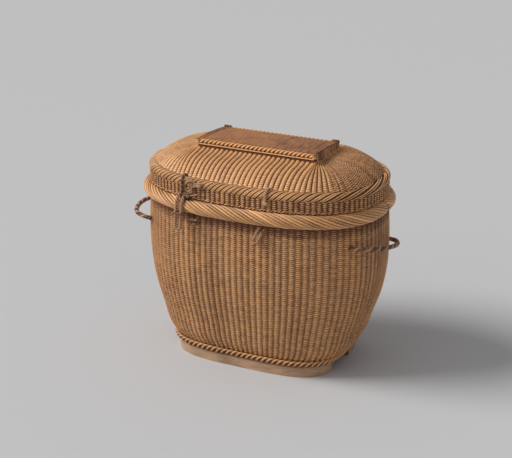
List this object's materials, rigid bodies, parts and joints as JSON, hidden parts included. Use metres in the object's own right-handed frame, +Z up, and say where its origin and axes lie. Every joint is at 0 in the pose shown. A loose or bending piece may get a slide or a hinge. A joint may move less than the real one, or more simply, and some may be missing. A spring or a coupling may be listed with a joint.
{
  "type": "oval lidded basket",
  "caption": "Oval willow basket with a hinged domed lid, a raised wooden panel on top, twisted carrying loops at the ends and a bent wooden foot.",
  "frame": {"origin": "on the floor under the middle of the object's bounding box", "axes": "+X along the long axis of the oval, towards the right end seen from the front; +Y from the fastener side to the hinge side; +Z up"},
  "size_m": [0.3182, 0.2104, 0.2562],
  "materials": {
    "woven_willow": "satin",
    "rolled_willow": "satin",
    "bent_wood": "satin",
    "panel_wood": "satin",
    "twisted_withe": "matte"
  },
  "bodies": {
    "basket": {"foot_rail_front": "bent_wood", "foot_rail_rear": "bent_wood", "foot_pegs": "bent_wood", "base_panel": "woven_willow", "base_sticks": "woven_willow", "foot_braid": "woven_willow", "wall_shell": "woven_willow", "rim_roll": "rolled_willow", "hinge_ring_left": "twisted_withe", "hinge_ring_right": "twisted_withe", "handle_left": "twisted_withe", "handle_right": "twisted_withe", "catch_loop_left": "twisted_withe", "catch_loop_right": "twisted_withe"},
    "lid": {"lid_skirt": "woven_willow", "lid_slope": "woven_willow", "panel_band_front": "woven_willow", "panel_band_rear": "woven_willow", "panel_end_wall_left": "woven_willow", "panel_end_wall_right": "woven_willow", "lid_shoulder_braid": "rolled_willow", "panel_slat_left": "panel_wood", "panel_slat_right": "panel_wood", "panel_end_strip_left": "panel_wood", "panel_end_strip_right": "panel_wood", "hasp_arch_left": "twisted_withe", "hasp_eye_left": "twisted_withe", "hasp_tail_left": "twisted_withe", "hasp_stub_right": "twisted_withe"},
    "hasp": {"hasp_loop_left": "twisted_withe", "hasp_binding_left": "twisted_withe"}
  },
  "joints": [
    {"name": "lid_hinge", "type": "hinge", "parent": "basket", "child": "lid", "pos_m": [0, 0.08894, 0.197], "axis": [-1, 0, 0], "range_deg": [0, 105]},
    {"name": "hasp_hinge", "type": "hinge", "parent": "lid", "child": "hasp", "pos_m": [-0.064, -0.09342, 0.2078], "axis": [-1, 0, 0], "range_deg": [0, 95]}
  ]
}
